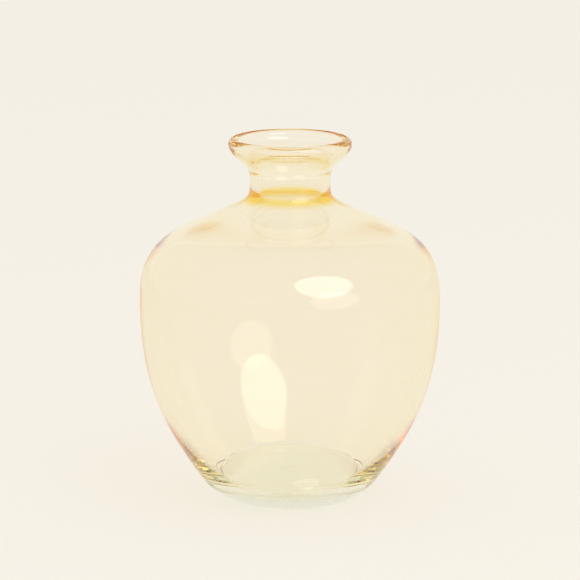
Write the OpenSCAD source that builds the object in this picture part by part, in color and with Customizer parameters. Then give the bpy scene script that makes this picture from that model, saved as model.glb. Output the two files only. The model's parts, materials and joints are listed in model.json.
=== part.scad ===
// Blown glass bud vase: a round-shouldered body, a short neck, a flared collar and a
// beaded lip. One clear vessel is turned from one outline, and a thin translucent amber
// coat covers its outside from the heel to the crown of the lip.
// +Z is up, and the origin is the centre of the ring that the vase stands on.

/* [Overall] */
// Height from the table to the coated crown of the lip
height = 120; // [108:1:150]
// Widest diameter of the body, over the coat
belly_d = 98.6; // [82:0.2:120]
// Height of the widest point above the table
belly_z = 67.7; // [50:0.1:74]

/* [Foot and heel] */
// Outer diameter of the flat ring that the vase stands on
foot_d = 35.2; // [32:0.2:42]
// Inner diameter of that ring, where the hollow under the base begins
foot_in_d = 31; // [12:0.5:32]
// Rise of the hollow under the base
punt_h = 0.8; // [0.4:0.1:2.5]
// Diameter at which the heel turns into the body, over the coat
heel_d = 55.4; // [46:0.2:66]
// Height at which the heel turns into the body
heel_z = 5.6; // [3:0.1:8]
// Slope of the body where it leaves the heel, in degrees from level
heel_slope = 52.7; // [45:0.1:65]

/* [Shoulder and neck] */
// Diameter of the point where the shoulder begins to turn up into the neck
shoulder_d = 41.4; // [36:0.2:50]
// Depth of that point below the top
shoulder_drop = 23.4; // [21:0.1:27]
// Slope of the shoulder at that point, in degrees from level
shoulder_slope = 23.3; // [15:0.1:32]
// Diameter of the neck at its waist, over the coat
neck_d = 26.4; // [25.2:0.1:29]
// Depth of the upper end of the straight neck below the top
neck_drop = 13.4; // [11:0.1:15]
// Length of the straight neck
neck_l = 2.2; // [0.5:0.1:3.5]

/* [Mouth] */
// Outer diameter of the lip, over the coat
lip_d = 40.4; // [36:0.2:48]
// Thickness of the rounded glass bead that forms the lip
lip_t = 3.4; // [2.4:0.1:4.4]
// Diameter of the straight bore in the neck
bore_d = 21.1; // [18:0.1:22.4]
// Depth of the upper end of the bore below the top
bore_drop = 10.1; // [8:0.1:12]
// Length of the bore
bore_l = 8.4; // [6:0.1:10]

/* [Walls] */
// Thickness of the glass at the widest point
belly_wall = 2.4; // [1.6:0.1:4]
// Thickness of the glass where the shoulder begins to turn up
shoulder_wall = 3.2; // [2.4:0.1:5]
// Thickness of the glass where the heel turns into the body
heel_wall = 3.8; // [3:0.1:5]
// Slope of the inside where the floor turns up into the wall, in degrees from level
floor_slope = 46; // [40:0.5:52]
// Thickness of the base at its centre
base_t = 16.6; // [12:0.1:19]

/* [Coat] */
// Thickness of the amber coat
coat_t = 0.2; // [0.15:0.01:0.3]

/* [Smoothness] */
// Steps along each long curve of an outline
long_steps = 24; // [12:1:40]
// Steps along each short curve of an outline
short_steps = 10; // [6:1:20]

/* [Hidden] */
$fn = 96;

up = 90;
down = 270;
inward = 180;

// Radii and heights of the bare glass, under the coat
belly_r = belly_d / 2 - coat_t;
neck_r = neck_d / 2 - coat_t;
lip_r = lip_d / 2 - coat_t;
glass_top = height - coat_t;
lip_z = glass_top - lip_t / 2;
lip_in_r = lip_r - lip_t;
bore_r = bore_d / 2;
bore_top = height - bore_drop;
bore_bottom = bore_top - bore_l;
neck_top = height - neck_drop;
neck_bottom = neck_top - neck_l;

// Points and headings that the outer outline passes through, from the foot upwards
foot = [foot_d / 2, 0];
heel = [heel_d / 2 - coat_t, heel_z];
belly = [belly_r, belly_z];
shoulder = [shoulder_d / 2 - coat_t, height - shoulder_drop];
shoulder_heading = 180 - shoulder_slope;

// A step of length d towards the angle a
function step(a, d) = [d * cos(a), d * sin(a)];

// The point on the inner outline that faces p, where the outline heads towards a
function inside(p, a, wall) = p + step(a + 90, wall);

// A point at t, from 0 to 1, on the cubic curve from p to q with the handles b and c
function cubic(p, b, c, q, t) =
    let (u = 1 - t)
    u * u * u * p + 3 * u * u * t * b + 3 * u * t * t * c + t * t * t * q;

// A smooth curve from p, heading towards pa, to q, heading towards qa. Each pull is the
// length of a handle as a share of the distance from p to q.
function bend(p, pa, p_pull, q, qa, q_pull, steps) =
    let (l = norm(q - p), b = p + step(pa, p_pull * l), c = q - step(qa, q_pull * l))
    [for (i = [0 : steps]) cubic(p, b, c, q, i / steps)];

// The direction at right angles to a row of points at point i, on its right-hand side
function right_of(points, i) =
    let (a = points[max(i - 1, 0)], b = points[min(i + 1, len(points) - 1)], d = b - a)
    [d.y, -d.x] / norm(d);

// A row of points moved by d to its right-hand side
function moved(points, d) = [for (i = [0 : len(points) - 1]) points[i] + d * right_of(points, i)];

function reversed(points) = [for (i = [len(points) - 1 : -1 : 0]) points[i]];

// A row of points without its first one, to follow another row that ends there
function rest_of(points) = [for (i = [1 : len(points) - 1]) points[i]];

// An arc of the lip's bead from the angle a to the angle b
function bead(a, b) =
    [for (i = [0 : short_steps])
        [lip_r - lip_t / 2, lip_z] + step(a + (b - a) * i / short_steps, lip_t / 2)];

// The rounded corner under the heel, below the coat
function heel_curve() = bend(foot, 0, 0.17, heel, heel_slope, 0.28, short_steps);

// The outside of the glass from the heel to the crown of the lip, which the coat covers
function coated_curve() =
    concat(
        bend(heel, heel_slope, 0.42, belly, up, 0.38, long_steps),
        rest_of(bend(belly, up, 0.43, shoulder, shoulder_heading, 0.5, long_steps)),
        rest_of(bend(shoulder, shoulder_heading, 0.68, [neck_r, neck_bottom], up, 0.33, short_steps)),
        bend([neck_r, neck_top], up, 0.455, [lip_r, lip_z], up, 0.37, short_steps),
        rest_of(bead(0, 90)));

// The inside of the glass from the crown of the lip down to the middle of the floor
function inner_curve() =
    let (
        shoulder_in = inside(shoulder, shoulder_heading, shoulder_wall),
        belly_in = inside(belly, up, belly_wall),
        heel_in = inside(heel, heel_slope, heel_wall),
        floor_in = [0, punt_h + base_t])
    concat(
        rest_of(bead(90, 180)),
        rest_of(bend([lip_in_r, lip_z], down, 0.23, [bore_r, bore_top], down, 0.36, short_steps)),
        bend([bore_r, bore_bottom], down, 0.3, shoulder_in, shoulder_heading - 180, 0.3, short_steps),
        rest_of(bend(shoulder_in, shoulder_heading - 180, 0.38, belly_in, down, 0.51, long_steps)),
        rest_of(bend(belly_in, down, 0.29, heel_in, floor_slope - 180, 0.45, long_steps)),
        rest_of(bend(heel_in, floor_slope - 180, 0.1, floor_in, inward, 0.95, short_steps)));

// The shallow hollow under the base, from its middle out to the resting ring
function punt_curve() =
    bend([0, punt_h], 0, 0.4, [foot_in_d / 2, 0], -2 * atan(2 * punt_h / foot_in_d), 0.3, short_steps);

// The clear glass: base, body, shoulder, neck, collar and beaded lip in one blown piece
module glass_vessel() {
    color([0.84, 0.91, 0.84, 0.45])
        rotate_extrude()
            polygon(concat(
                punt_curve(),
                heel_curve(),
                rest_of(coated_curve()),
                inner_curve()));
}

// The sprayed amber film on the outside, open at the foot and at the mouth
module amber_coat() {
    color([0.96, 0.74, 0.33, 0.6])
        rotate_extrude()
            polygon(concat(
                moved(coated_curve(), coat_t),
                reversed(coated_curve())));
}

glass_vessel();
amber_coat();
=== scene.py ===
"""Visual model of a blown glass bud vase under a sprayed amber coat.

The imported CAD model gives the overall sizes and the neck's bore. The glass and the coat are
turned here from the same outline, with finer steps and the slight waviness of blown glass.
"""

import json
import logging
from dataclasses import dataclass, field
from enum import Enum
from math import atan2, cos, degrees, pi, radians, sin

import bpy
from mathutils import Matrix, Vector


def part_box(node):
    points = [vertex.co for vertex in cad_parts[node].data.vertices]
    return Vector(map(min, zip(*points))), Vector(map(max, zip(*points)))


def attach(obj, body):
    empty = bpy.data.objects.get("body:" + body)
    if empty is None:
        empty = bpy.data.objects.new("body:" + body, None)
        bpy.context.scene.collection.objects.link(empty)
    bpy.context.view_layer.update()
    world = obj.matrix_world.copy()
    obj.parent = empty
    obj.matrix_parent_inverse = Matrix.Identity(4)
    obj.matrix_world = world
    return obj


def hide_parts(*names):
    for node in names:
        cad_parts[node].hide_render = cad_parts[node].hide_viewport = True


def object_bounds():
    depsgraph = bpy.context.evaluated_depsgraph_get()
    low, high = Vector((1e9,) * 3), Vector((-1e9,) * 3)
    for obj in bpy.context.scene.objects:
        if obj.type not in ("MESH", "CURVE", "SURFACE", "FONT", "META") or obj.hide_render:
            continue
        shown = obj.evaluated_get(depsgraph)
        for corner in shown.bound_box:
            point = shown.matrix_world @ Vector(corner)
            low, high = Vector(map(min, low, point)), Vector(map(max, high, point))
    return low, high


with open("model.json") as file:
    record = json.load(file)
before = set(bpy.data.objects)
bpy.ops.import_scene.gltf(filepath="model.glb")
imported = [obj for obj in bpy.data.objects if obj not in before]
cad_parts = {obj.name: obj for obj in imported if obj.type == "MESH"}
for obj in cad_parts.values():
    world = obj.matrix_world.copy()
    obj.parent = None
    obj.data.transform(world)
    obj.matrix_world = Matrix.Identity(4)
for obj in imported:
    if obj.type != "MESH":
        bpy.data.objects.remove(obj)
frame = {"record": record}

LOG = logging.getLogger("bud_vase")
CAD_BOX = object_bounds()
UNDER_COAT = "under_coat"
MM = 0.001
LIGHT_BOUNCES = 128
CLEAR_CROSSINGS = 512

Point = tuple[float, float]
Outline = list[Point]


# ---------------------------------------------------------------------------------------
# Outlines: rows of (radius, height) points in millimetres
# ---------------------------------------------------------------------------------------


class Heading(Enum):
    """Directions along an outline, in degrees from level."""

    LEVEL = 0.0
    UP = 90.0
    INWARD = 180.0
    DOWN = 270.0


def step(start: Point, heading: float, distance: float) -> Point:
    """Returns the point that lies a distance from start.

    Args:
        start: The point to leave from.
        heading: The direction, in degrees.
        distance: How far to go, in millimetres.

    Returns:
        The point reached.
    """
    angle = radians(heading)
    return start[0] + distance * cos(angle), start[1] + distance * sin(angle)


def bend(
    p: Point, p_heading: float, p_pull: float, q: Point, q_heading: float, q_pull: float, steps: int
) -> Outline:
    """Draws a smooth curve between two points whose headings are known.

    Args:
        p: Where the curve starts.
        p_heading: The way it heads there, in degrees.
        p_pull: The length of its first handle, as a share of the distance from p to q.
        q: Where the curve ends.
        q_heading: The way it heads there, in degrees.
        q_pull: The length of its second handle, as the same share.
        steps: How many steps the curve is cut into.

    Returns:
        The points of the curve, both ends included.
    """
    span = ((q[0] - p[0]) ** 2 + (q[1] - p[1]) ** 2) ** 0.5
    b = step(p, p_heading, p_pull * span)
    c = step(q, q_heading, -q_pull * span)
    points = []
    for i in range(steps + 1):
        t = i / steps
        u = 1 - t
        weights = (u * u * u, 3 * u * u * t, 3 * u * t * t, t * t * t)
        points.append(tuple(sum(w * k[axis] for w, k in zip(weights, (p, b, c, q))) for axis in (0, 1)))
    return points


def arc(centre: Point, radius: float, start: float, end: float, steps: int) -> Outline:
    """Draws an arc.

    Args:
        centre: The arc's centre.
        radius: Its radius, in millimetres.
        start: The angle it starts at, in degrees.
        end: The angle it ends at, in degrees.
        steps: How many steps it is cut into.

    Returns:
        The points of the arc, both ends included.
    """
    return [step(centre, start + (end - start) * i / steps, radius) for i in range(steps + 1)]


def joined(*parts: Outline) -> Outline:
    """Joins curves end to end, and leaves out a first point that repeats the last one."""
    line: Outline = []
    for part in parts:
        follows = bool(line) and abs(line[-1][0] - part[0][0]) + abs(line[-1][1] - part[0][1]) < 1e-6
        line += part[1:] if follows else part
    return line


def moved(line: Outline, distance: float) -> Outline:
    """Moves each point of a line to its right-hand side.

    Args:
        line: The points to move.
        distance: How far to move them, in millimetres.

    Returns:
        The moved points.
    """
    last = len(line) - 1
    points = []
    for i, point in enumerate(line):
        a, b = line[max(i - 1, 0)], line[min(i + 1, last)]
        heading = degrees(atan2(b[1] - a[1], b[0] - a[0]))
        points.append(step(point, heading - 90, distance))
    return points


# ---------------------------------------------------------------------------------------
# Finishes
# ---------------------------------------------------------------------------------------


def linear(hex_colour: str) -> tuple[float, float, float, float]:
    """Turns an sRGB hex colour into the linear colour that shaders work in.

    Args:
        hex_colour: Six hex digits, such as "F5F0E5".

    Returns:
        Red, green, blue and an alpha of 1.
    """
    channels = [int(hex_colour[i : i + 2], 16) / 255 for i in (0, 2, 4)]
    red, green, blue = (c / 12.92 if c <= 0.04045 else ((c + 0.055) / 1.055) ** 2.4 for c in channels)
    return red, green, blue, 1.0


def add_node(
    owner: bpy.types.Material | bpy.types.World,
    kind: str,
    settings: dict[str, object] | None = None,
    inputs: dict[str | int, object] | None = None,
) -> bpy.types.Node:
    """Adds one shader node with its settings, its values and its links.

    Args:
        owner: The material or the world that owns the node tree.
        kind: The node's type name.
        settings: Properties of the node itself.
        inputs: A value, or the output socket to link, for each named or numbered input.

    Returns:
        The new node.
    """
    tree = owner.node_tree
    node = tree.nodes.new(kind)
    for name, value in (settings or {}).items():
        setattr(node, name, value)
    for key, value in (inputs or {}).items():
        if isinstance(value, bpy.types.NodeSocket):
            tree.links.new(value, node.inputs[key])
        else:
            node.inputs[key].default_value = value
    return node


def blank_material(name: str) -> bpy.types.Material:
    """Makes a material with an empty node tree."""
    material = bpy.data.materials.new(name)
    material.use_nodes = True
    material.node_tree.nodes.clear()
    return material


def open_to_lamps(
    material: bpy.types.Material, surface: bpy.types.NodeSocket, lamp_tint: str
) -> bpy.types.NodeSocket:
    """Lets shadow rays and scattered light pass straight through a clear surface.

    Args:
        material: The material that holds the surface.
        surface: The surface that every other ray meets.
        lamp_tint: The colour that passing light takes, as sRGB hex.

    Returns:
        The surface to use in its place.
    """
    path = add_node(material, "ShaderNodeLightPath")
    clear = add_node(material, "ShaderNodeBsdfTransparent", inputs={"Color": linear(lamp_tint)})
    scattered = add_node(
        material,
        "ShaderNodeMixShader",
        inputs={0: path.outputs["Is Diffuse Ray"], 1: surface, 2: clear.outputs[0]},
    )
    shadowed = add_node(
        material,
        "ShaderNodeMixShader",
        inputs={0: path.outputs["Is Shadow Ray"], 1: scattered.outputs[0], 2: clear.outputs[0]},
    )
    return shadowed.outputs[0]


def seen_directly(owner: bpy.types.Material | bpy.types.World) -> bpy.types.NodeSocket:
    """Tells the camera's own rays, and those that glass sends on, from the rays that light things.

    Args:
        owner: The material or the world that asks.

    Returns:
        1 for a camera, glossy or transmission ray, and 0 for any other.
    """
    path = add_node(owner, "ShaderNodeLightPath")
    seen = add_node(
        owner,
        "ShaderNodeMath",
        {"operation": "ADD", "use_clamp": True},
        {0: path.outputs["Is Camera Ray"], 1: path.outputs["Is Glossy Ray"]},
    )
    seen_through = add_node(
        owner,
        "ShaderNodeMath",
        {"operation": "ADD", "use_clamp": True},
        {0: seen.outputs[0], 1: path.outputs["Is Transmission Ray"]},
    )
    return seen_through.outputs[0]


def refracting(material: bpy.types.Material, roughness: float, ior: float) -> bpy.types.NodeSocket:
    """Adds a clear refracting surface to a material and returns it."""
    surface = add_node(
        material,
        "ShaderNodeBsdfPrincipled",
        inputs={
            "Base Color": (1.0, 1.0, 1.0, 1.0),
            "Roughness": roughness,
            "IOR": ior,
            "Transmission Weight": 1.0,
        },
    )
    return surface.outputs[0]


@dataclass(frozen=True)
class BlownGlass:
    """Fire-polished soda-lime glass.

    It gives the eye sharp refraction and reflection, and a faint green where it is thick.
    Lacquer and glass bend light alike, so the face that the coat wets doesn't show.
    """

    name: str = "blown_soda_lime_glass"
    ior: float = 1.52
    roughness: float = 0.0
    depth_colour: str = "EBF2E8"
    depth_density: float = 14.0
    lamp_tint: str = "F7F9F4"

    def material(self) -> bpy.types.Material:
        """Builds the material.

        Returns:
            The finished material.
        """
        mat = blank_material(self.name)
        glass = refracting(mat, self.roughness, self.ior)
        bare = open_to_lamps(mat, glass, self.lamp_tint)
        wetted = add_node(mat, "ShaderNodeAttribute", {"attribute_name": UNDER_COAT})
        unseen = add_node(mat, "ShaderNodeBsdfTransparent", inputs={"Color": (1.0, 1.0, 1.0, 1.0)})
        surface = add_node(
            mat,
            "ShaderNodeMixShader",
            inputs={0: wetted.outputs["Fac"], 1: bare, 2: unseen.outputs[0]},
        )
        depth = add_node(
            mat,
            "ShaderNodeVolumeAbsorption",
            inputs={"Color": linear(self.depth_colour), "Density": self.depth_density},
        )
        add_node(
            mat,
            "ShaderNodeOutputMaterial",
            inputs={"Surface": surface.outputs[0], "Volume": depth.outputs[0]},
        )
        return mat


@dataclass(frozen=True)
class AmberLacquer:
    """Sprayed and cured translucent amber lacquer.

    It gives the eye a clear gloss outside, and an amber that deepens where it is seen edge on. Round the root
    of the neck its film carries a painted shade of deeper amber.
    """

    name: str = "sprayed_amber_lacquer"
    ior: float = 1.52
    roughness: float = 0.0
    thin_colour: str = "FFFDF6"
    edge_colour: str = "FFF5B2"
    streak_colour: str = "FFFAEF"
    streak_mm: float = 9.0
    # Painted shade: a deeper amber laid round the root of the neck, not thicker lacquer
    root_shade_colour: str = "FFEC90"
    root_shade_mm: float = 2.4
    lamp_tint: str = "FBF4E4"

    def gloss_material(self) -> bpy.types.Material:
        """Builds the material of the coat's outer skin.

        Returns:
            The finished material.
        """
        mat = blank_material(self.name)
        gloss = refracting(mat, self.roughness, self.ior)
        surface = open_to_lamps(mat, gloss, self.lamp_tint)
        add_node(mat, "ShaderNodeOutputMaterial", inputs={"Surface": surface})
        return mat

    def film_material(self, root_shade_height: float) -> bpy.types.Material:
        """Builds the material of the coloured film, on the coat's inner skin.

        The sprayed film is a little uneven, and light that crosses it aslant meets more of it.
        A band of deeper amber is painted round the hollow at the root of the neck: painted shade
        that stands in for the dark ring which light bent inside the glass shows there.

        Args:
            root_shade_height: The height of that hollow, where the painted shade lies, in millimetres.

        Returns:
            The finished material.
        """
        mat = blank_material(f"{self.name}_film")
        place = add_node(mat, "ShaderNodeNewGeometry")
        squashed = add_node(
            mat,
            "ShaderNodeVectorMath",
            {"operation": "MULTIPLY"},
            {0: place.outputs["Position"], 1: (1.0, 1.0, 2.5)},
        )
        mist = add_node(
            mat,
            "ShaderNodeTexNoise",
            inputs={"Vector": squashed.outputs[0], "Scale": 1 / (self.streak_mm * MM), "Detail": 3.0},
        )
        sprayed = add_node(
            mat,
            "ShaderNodeMix",
            {"data_type": "RGBA"},
            {0: mist.outputs[0], 6: linear(self.thin_colour), 7: linear(self.streak_colour)},
        )
        facing = add_node(mat, "ShaderNodeLayerWeight", inputs={"Blend": 0.5})
        slant = add_node(mat, "ShaderNodeMath", {"operation": "POWER"}, {0: facing.outputs["Facing"], 1: 2.0})
        tint = add_node(
            mat,
            "ShaderNodeMix",
            {"data_type": "RGBA"},
            {0: slant.outputs[0], 6: sprayed.outputs[2], 7: linear(self.edge_colour)},
        )
        # Painted shade: a band of deeper amber, strongest at the neck's root and fading within root_shade_mm
        # of it
        along = add_node(mat, "ShaderNodeSeparateXYZ", inputs={0: place.outputs["Position"]})
        offset = add_node(
            mat, "ShaderNodeMath", {"operation": "SUBTRACT"}, {0: along.outputs["Z"], 1: root_shade_height * MM}
        )
        away = add_node(mat, "ShaderNodeMath", {"operation": "ABSOLUTE"}, {0: offset.outputs[0]})
        root_shade_mask = add_node(
            mat,
            "ShaderNodeMapRange",
            {"interpolation_type": "SMOOTHSTEP"},
            {
                "Value": away.outputs[0],
                "From Min": 0.0,
                "From Max": self.root_shade_mm * MM,
                "To Min": 1.0,
                "To Max": 0.0,
            },
        )
        tint_and_root_shade = add_node(
            mat,
            "ShaderNodeMix",
            {"data_type": "RGBA"},
            {0: root_shade_mask.outputs[0], 6: tint.outputs[2], 7: linear(self.root_shade_colour)},
        )
        film = add_node(mat, "ShaderNodeBsdfTransparent", inputs={"Color": tint_and_root_shade.outputs[2]})
        add_node(mat, "ShaderNodeOutputMaterial", inputs={"Surface": film.outputs[0]})
        return mat


@dataclass(frozen=True)
class Paper:
    """Smooth uncoated studio paper in a warm white.

    It gives the eye an even pale ground that still takes the vase's shadow.
    """

    name: str = "warm_white_paper"
    colour: str = "F9F4EA"
    lit_share: float = 0.25
    glow: float = 1.0

    def material(self) -> bpy.types.Material:
        """Builds the material.

        Returns:
            The finished material.
        """
        mat = blank_material(self.name)
        fibres = add_node(mat, "ShaderNodeTexNoise", inputs={"Scale": 900.0, "Detail": 2.0})
        relief = add_node(
            mat, "ShaderNodeBump", inputs={"Strength": 0.02, "Distance": 0.0002, "Height": fibres.outputs[0]}
        )
        matt = add_node(
            mat,
            "ShaderNodeBsdfPrincipled",
            inputs={
                "Base Color": linear(self.colour),
                "Roughness": 0.9,
                "Specular IOR Level": 0.0,
                "Normal": relief.outputs[0],
            },
        )
        glow = add_node(
            mat, "ShaderNodeEmission", inputs={"Color": linear(self.colour), "Strength": self.glow}
        )
        share = add_node(
            mat, "ShaderNodeMath", {"operation": "MULTIPLY"}, {0: seen_directly(mat), 1: 1 - self.lit_share}
        )
        surface = add_node(
            mat, "ShaderNodeMixShader", inputs={0: share.outputs[0], 1: matt.outputs[0], 2: glow.outputs[0]}
        )
        add_node(mat, "ShaderNodeOutputMaterial", inputs={"Surface": surface.outputs[0]})
        return mat


# ---------------------------------------------------------------------------------------
# The vase
# ---------------------------------------------------------------------------------------


@dataclass(frozen=True)
class Waviness:
    """The slight unevenness that blowing and tooling leave, in millimetres.

    The outside touched the mould and is nearly true; the inside only met air. Within the calm
    radius it dies away, so that the middle of the floor stays smooth.
    """

    outside: float = 0.08
    inside: float = 0.28
    calm_radius: float = 8.0

    def sway(self, angle: float, height: float) -> float:
        """Returns a smooth value from 0 to 1 that changes slowly round and up the vase.

        Args:
            angle: The place round the axis, in radians.
            height: The place along the axis, in millimetres.

        Returns:
            The value at that place.
        """
        # Each wave's share, its turns round the axis, its change with height and its start
        waves = (
            (0.34, 2, 0.021, 0.4),
            (0.26, 3, -0.034, 2.1),
            (0.20, 5, 0.052, 4.0),
            (0.12, 8, -0.081, 1.3),
            (0.08, 1, 0.190, 5.2),
        )
        swell = sum(share * sin(turns * angle + rise * height + start) for share, turns, rise, start in waves)
        return 0.5 + 0.5 * swell


@dataclass
class VaseShape:
    """Sizes of the vase in millimetres, and the outlines that follow from them."""

    height: float
    belly_r: float
    bore_r: float
    bore_top: float
    bore_bottom: float
    belly_z: float = 67.7
    foot_r: float = 17.6
    foot_in_r: float = 15.5
    punt_h: float = 0.8
    heel_r: float = 27.7
    heel_z: float = 5.6
    heel_slope: float = 52.7
    shoulder_r: float = 20.7
    shoulder_drop: float = 23.4
    shoulder_slope: float = 23.3
    neck_r: float = 13.2
    neck_drop: float = 13.4
    neck_l: float = 2.2
    root_drop: float = 3.6
    lip_r: float = 20.2
    lip_t: float = 3.4
    belly_wall: float = 2.4
    shoulder_wall: float = 3.2
    heel_wall: float = 3.8
    floor_slope: float = 46.0
    base_t: float = 16.6
    coat_t: float = 0.2
    long_steps: int = 72
    short_steps: int = 28

    @classmethod
    def from_frame(cls) -> "VaseShape":
        """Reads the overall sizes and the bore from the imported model.

        Returns:
            The vase's sizes.
        """
        low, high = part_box("amber_coat")
        bore = next(m for m in frame["record"]["mounts"] if m["name"] == "neck_bore")
        middle = bore["pos_m"][2] / MM
        half = bore["dims"]["length_mm"] / 2
        return cls(
            height=high.z / MM,
            belly_r=(high.x - low.x) / 2 / MM,
            bore_r=bore["dims"]["r_mm"],
            bore_top=middle + half,
            bore_bottom=middle - half,
        )

    @property
    def lip_centre(self) -> Point:
        """The middle of the lip's round bead."""
        return self.lip_r - self.coat_t - self.lip_t / 2, self.height - self.coat_t - self.lip_t / 2

    @property
    def heel(self) -> Point:
        """The point of the glass where the heel turns into the body."""
        return self.heel_r - self.coat_t, self.heel_z

    @property
    def belly(self) -> Point:
        """The widest point of the glass."""
        return self.belly_r - self.coat_t, self.belly_z

    @property
    def shoulder(self) -> Point:
        """The point of the glass where the shoulder begins to turn up into the neck."""
        return self.shoulder_r - self.coat_t, self.height - self.shoulder_drop

    @property
    def neck_root(self) -> float:
        """The height of the hollow where the shoulder turns up into the neck."""
        return self.height - self.neck_drop - self.neck_l - self.root_drop

    def foot_outline(self) -> Outline:
        """Returns the underside, from the middle of the hollow to the heel."""
        dish = degrees(2 * atan2(self.punt_h, self.foot_in_r))
        centre = (0.0, self.punt_h)
        ring_in = (self.foot_in_r, 0.0)
        ring_out = (self.foot_r, 0.0)
        return joined(
            bend(centre, Heading.LEVEL.value, 0.4, ring_in, -dish, 0.3, self.short_steps),
            [ring_in, ring_out],
            bend(ring_out, Heading.LEVEL.value, 0.17, self.heel, self.heel_slope, 0.28, self.short_steps),
        )

    def coated_outline(self) -> Outline:
        """Returns the outside of the glass under the coat, from the heel to the lip's crown."""
        up = Heading.UP.value
        turn = Heading.INWARD.value - self.shoulder_slope
        waist_r = self.neck_r - self.coat_t
        waist_top = (waist_r, self.height - self.neck_drop)
        waist_bottom = (waist_r, waist_top[1] - self.neck_l)
        lip_side = step(self.lip_centre, Heading.LEVEL.value, self.lip_t / 2)
        return joined(
            bend(self.heel, self.heel_slope, 0.42, self.belly, up, 0.38, self.long_steps),
            bend(self.belly, up, 0.43, self.shoulder, turn, 0.5, self.long_steps),
            bend(self.shoulder, turn, 0.68, waist_bottom, up, 0.33, self.short_steps),
            bend(waist_top, up, 0.455, lip_side, up, 0.37, self.short_steps),
            arc(self.lip_centre, self.lip_t / 2, 0.0, 90.0, self.short_steps // 2),
        )

    def inner_outline(self) -> Outline:
        """Returns the inside of the glass, from the lip's crown to the middle of the floor."""
        down, inward = Heading.DOWN.value, Heading.INWARD.value
        turn = -self.shoulder_slope
        lip_in = step(self.lip_centre, inward, self.lip_t / 2)
        shoulder_in = step(self.shoulder, inward - self.shoulder_slope + 90, self.shoulder_wall)
        belly_in = step(self.belly, inward, self.belly_wall)
        heel_in = step(self.heel, self.heel_slope + 90, self.heel_wall)
        floor_in = (0.0, self.punt_h + self.base_t)
        back = self.floor_slope - 180
        return joined(
            arc(self.lip_centre, self.lip_t / 2, 90.0, 180.0, self.short_steps // 2),
            bend(lip_in, down, 0.23, (self.bore_r, self.bore_top), down, 0.36, self.short_steps),
            bend((self.bore_r, self.bore_bottom), down, 0.3, shoulder_in, turn, 0.3, self.short_steps),
            bend(shoulder_in, turn, 0.38, belly_in, down, 0.51, self.long_steps),
            bend(belly_in, down, 0.29, heel_in, back, 0.45, self.long_steps),
            bend(heel_in, back, 0.1, floor_in, inward, 0.95, self.short_steps),
        )


@dataclass
class Turning:
    """A closed mesh turned about +Z, one outline run after another."""

    name: str
    turns: int = 288
    rings: list[Point] = field(default_factory=list)
    skins: list[int] = field(default_factory=list)
    sway: list[float] = field(default_factory=list)
    face_skins: list[int] = field(default_factory=list)

    def run(self, line: Outline, skin: int, sway: float) -> None:
        """Adds a run of the outline.

        Args:
            line: The run's points, which go on from the last run.
            skin: The number of the skin that the faces ending at each point belong to.
            sway: How far the waviness may draw the points in, in millimetres.
        """
        for point in line:
            if self.rings and abs(self.rings[-1][0] - point[0]) + abs(self.rings[-1][1] - point[1]) < 1e-6:
                continue
            self.rings.append(point)
            self.skins.append(skin)
            self.sway.append(sway)

    def build(self, waviness: Waviness, ring_shaped: bool) -> bpy.types.Object:
        """Turns the runs into a mesh object.

        Args:
            waviness: The unevenness that moves the points.
            ring_shaped: True if the last point joins the first one, away from the axis.

        Returns:
            The new object. Its faces' skins are left in face_skins, in order.
        """
        points: list[tuple[float, float, float]] = []
        starts: list[int] = []
        for (radius, height), most in zip(self.rings, self.sway):
            starts.append(len(points))
            if radius < 1e-6:
                points.append((0.0, 0.0, height * MM))
                continue
            for k in range(self.turns):
                angle = 2 * pi * k / self.turns
                out = radius - most * min(1.0, radius / waviness.calm_radius) * waviness.sway(angle, height)
                points.append((out * cos(angle) * MM, out * sin(angle) * MM, height * MM))
        faces: list[tuple[int, ...]] = []
        count = len(self.rings)
        pairs = [(i, i + 1) for i in range(count - 1)]
        if ring_shaped:
            pairs.append((count - 1, 0))
        for i, j in pairs:
            for k in range(self.turns):
                n = (k + 1) % self.turns
                if self.rings[i][0] < 1e-6:
                    face = (starts[i], starts[j] + k, starts[j] + n)
                elif self.rings[j][0] < 1e-6:
                    face = (starts[i] + n, starts[i] + k, starts[j])
                else:
                    face = (starts[i] + n, starts[i] + k, starts[j] + k, starts[j] + n)
                faces.append(tuple(reversed(face)))
                self.face_skins.append(self.skins[j])
        mesh = bpy.data.meshes.new(self.name)
        mesh.from_pydata(points, [], faces)
        mesh.polygons.foreach_set("use_smooth", [True] * len(faces))
        mesh.update()
        piece = bpy.data.objects.new(self.name, mesh)
        bpy.context.scene.collection.objects.link(piece)
        return piece


@dataclass
class BlownVessel:
    """The one piece of clear glass: base, body, shoulder, neck, collar and lip."""

    shape: VaseShape
    waviness: Waviness
    finish: BlownGlass

    def build(self) -> bpy.types.Object:
        """Builds, dresses and places the vessel.

        Returns:
            The finished piece.
        """
        turning = Turning("blown_vessel")
        turning.run(self.shape.foot_outline(), 0, 0.0)
        turning.run(self.shape.coated_outline(), 1, self.waviness.outside)
        turning.run(self.shape.inner_outline(), 0, self.waviness.inside)
        piece = turning.build(self.waviness, ring_shaped=False)
        wetted = piece.data.attributes.new(UNDER_COAT, "FLOAT", "FACE")
        wetted.data.foreach_set("value", [float(skin) for skin in turning.face_skins])
        piece.data.materials.append(self.finish.material())
        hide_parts("glass_vessel")
        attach(piece, "root")
        return piece


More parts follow.
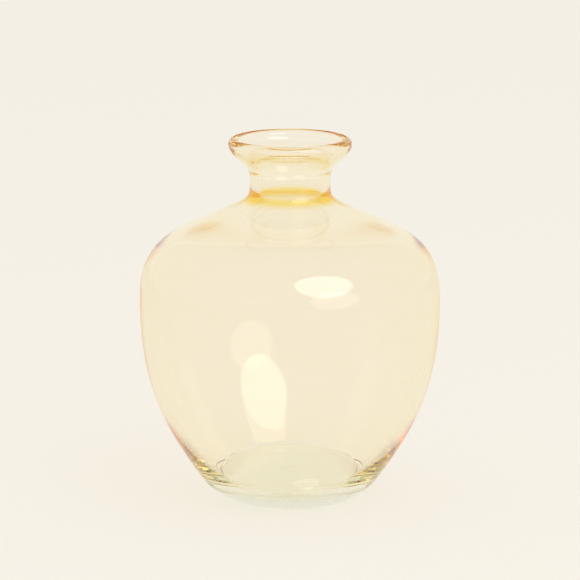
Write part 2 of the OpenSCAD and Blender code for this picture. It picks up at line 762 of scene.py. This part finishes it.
@dataclass
class SprayedCoat:
    """The thin amber coat on the outside of the glass, from the heel to the lip's crown."""

    shape: VaseShape
    waviness: Waviness
    finish: AmberLacquer
    seat_gap: float = 0.01

    def build(self) -> bpy.types.Object:
        """Builds, dresses and places the coat.

        Returns:
            The finished piece.
        """
        under = moved(self.shape.coated_outline(), self.seat_gap)
        outer = moved(self.shape.coated_outline(), self.shape.coat_t)
        turning = Turning("sprayed_coat")
        turning.run(outer, 0, self.waviness.outside)
        turning.run(under[::-1], 1, self.waviness.outside)
        piece = turning.build(self.waviness, ring_shaped=True)
        piece.data.polygons.foreach_set("material_index", turning.face_skins)
        piece.data.materials.append(self.finish.gloss_material())
        piece.data.materials.append(self.finish.film_material(self.shape.neck_root))
        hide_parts("amber_coat")
        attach(piece, "root")
        return piece


# ---------------------------------------------------------------------------------------
# The studio
# ---------------------------------------------------------------------------------------


@dataclass(frozen=True)
class Softbox:
    """Where one softbox hangs, as seen from the vase, and how large and bright it is."""

    name: str
    bearing: float
    height: float
    size: tuple[float, float]
    power: float


@dataclass
class Studio:
    """The camera, the paper ground, the softboxes and the room's own light, in metres."""

    aim: Vector
    distance: float = 1.5
    tilt: float = 11.5
    focal_mm: float = 284.0
    sensor_mm: float = 36.0
    rise: float = 0.0095
    ground: float = 6.0
    room_strength: float = 0.78
    room_colour: str = "F8F4EA"
    lamp_colour: str = "FFFEFB"
    lamp_distance: float = 1.5
    lamps: tuple[Softbox, ...] = (
        Softbox("softbox", bearing=31.5, height=40.0, size=(1.1, 1.12), power=6.0),
        Softbox("fill_softbox", bearing=35.5, height=15.0, size=(1.05, 0.6), power=1.1),
    )

    def camera(self) -> bpy.types.Object:
        """Makes the camera and points it at the vase.

        Returns:
            The camera, set as the scene's own.
        """
        data = bpy.data.cameras.new("camera")
        data.lens = self.focal_mm
        data.sensor_width = self.sensor_mm
        data.clip_end = 50.0
        camera = bpy.data.objects.new("camera", data)
        bpy.context.scene.collection.objects.link(camera)
        tilt = radians(self.tilt)
        camera.location = self.aim + Vector((0.0, -self.distance * cos(tilt), self.distance * sin(tilt)))
        target = self.aim + Vector((0.0, 0.0, self.rise))
        camera.rotation_euler = (target - camera.location).to_track_quat("-Z", "Y").to_euler()
        bpy.context.scene.camera = camera
        return camera

    def paper(self, finish: Paper) -> bpy.types.Object:
        """Lays the paper that the vase stands on.

        Args:
            finish: What the paper is made of.

        Returns:
            The paper.
        """
        mesh = bpy.data.meshes.new("paper_ground")
        half = self.ground / 2
        corners = [(-half, -half, 0), (half, -half, 0), (half, half, 0), (-half, half, 0)]
        mesh.from_pydata(corners, [], [(0, 1, 2, 3)])
        sheet = bpy.data.objects.new("paper_ground", mesh)
        bpy.context.scene.collection.objects.link(sheet)
        sheet.location.z = -0.0001
        mesh.materials.append(finish.material())
        return sheet

    def hang(self, lamp: Softbox) -> bpy.types.Object:
        """Hangs a softbox before and above the vase, facing it.

        Args:
            lamp: The softbox to hang.

        Returns:
            The light.
        """
        data = bpy.data.lights.new(lamp.name, "AREA")
        data.shape = "ELLIPSE"
        data.size, data.size_y = lamp.size
        data.energy = lamp.power
        light = bpy.data.objects.new(lamp.name, data)
        bpy.context.scene.collection.objects.link(light)
        bearing, height = radians(lamp.bearing), radians(lamp.height)
        way = Vector((sin(bearing) * cos(height), -cos(bearing) * cos(height), sin(height)))
        light.location = self.aim + way * self.lamp_distance
        light.rotation_euler = way.to_track_quat("Z", "Y").to_euler()
        return light

    def room(self) -> None:
        """Sets the even light that the room's walls give."""
        world = bpy.data.worlds.new("room")
        bpy.context.scene.world = world
        world.use_nodes = True
        world.node_tree.nodes.clear()
        lighting = add_node(
            world,
            "ShaderNodeBackground",
            inputs={"Color": linear(self.lamp_colour), "Strength": self.room_strength},
        )
        backdrop = add_node(
            world, "ShaderNodeBackground", inputs={"Color": linear(self.room_colour), "Strength": 1.0}
        )
        shown = add_node(
            world,
            "ShaderNodeMixShader",
            inputs={0: seen_directly(world), 1: lighting.outputs[0], 2: backdrop.outputs[0]},
        )
        add_node(world, "ShaderNodeOutputWorld", inputs={"Surface": shown.outputs[0]})


def set_light_paths() -> None:
    """Lets light cross as many faces as thick, coated glass has."""
    cycles = bpy.context.scene.cycles
    cycles.max_bounces = LIGHT_BOUNCES
    cycles.transmission_bounces = LIGHT_BOUNCES
    cycles.glossy_bounces = LIGHT_BOUNCES
    cycles.transparent_max_bounces = CLEAR_CROSSINGS
    cycles.caustics_reflective = False
    cycles.caustics_refractive = False


def main() -> None:
    """Builds the studio and the vase, and reports each piece."""
    logging.basicConfig(level=logging.INFO, format="%(message)s")
    bpy.context.scene.view_settings.view_transform = "Standard"
    low, high = CAD_BOX
    studio = Studio(aim=Vector((0.0, 0.0, (low[2] + high[2]) / 2)))
    studio.camera()
    studio.paper(Paper())
    for lamp in studio.lamps:
        studio.hang(lamp)
    studio.room()
    set_light_paths()
    shape = VaseShape.from_frame()
    waviness = Waviness()
    pieces = (
        BlownVessel(shape, waviness, BlownGlass()).build(),
        SprayedCoat(shape, waviness, AmberLacquer()).build(),
    )
    for piece in pieces:
        LOG.info("%s: %d faces", piece.name, len(piece.data.polygons))


if __name__ == "__main__":
    main()
